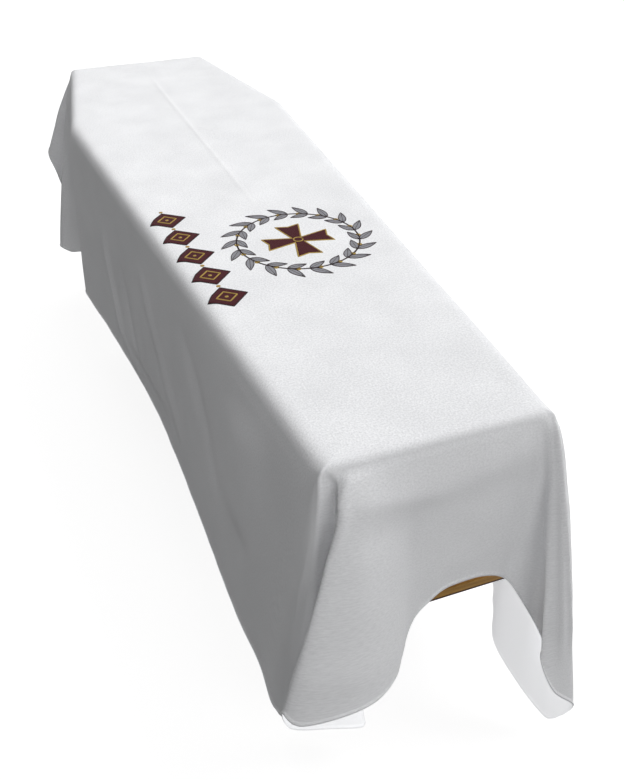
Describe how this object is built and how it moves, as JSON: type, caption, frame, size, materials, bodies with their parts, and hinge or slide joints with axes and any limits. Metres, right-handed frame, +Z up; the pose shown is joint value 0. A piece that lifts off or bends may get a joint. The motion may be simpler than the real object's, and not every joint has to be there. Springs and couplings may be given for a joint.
{
  "type": "coffin drape on a coffin",
  "caption": "Large rectangular white cloth laid over a closed six-sided wooden coffin, flat on the lid, hanging free on all sides with folded corners.",
  "frame": {"origin": "middle of the coffin's flat underside, halfway along its length", "axes": "+Z up, +Y towards the head end, +X towards the coffin's right side as seen from the foot end"},
  "size_m": [0.626, 2.14, 0.6543],
  "materials": {
    "coffin_wood": "satin",
    "drape_cloth": "matt plain weave"
  },
  "bodies": {
    "root": {"base": "coffin_wood", "wall_foot": "coffin_wood", "wall_left": "coffin_wood", "wall_leftHead": "coffin_wood", "wall_head": "coffin_wood", "wall_rightHead": "coffin_wood", "wall_right": "coffin_wood", "lid": "coffin_wood", "drape": "drape_cloth"}
  },
  "joints": []
}
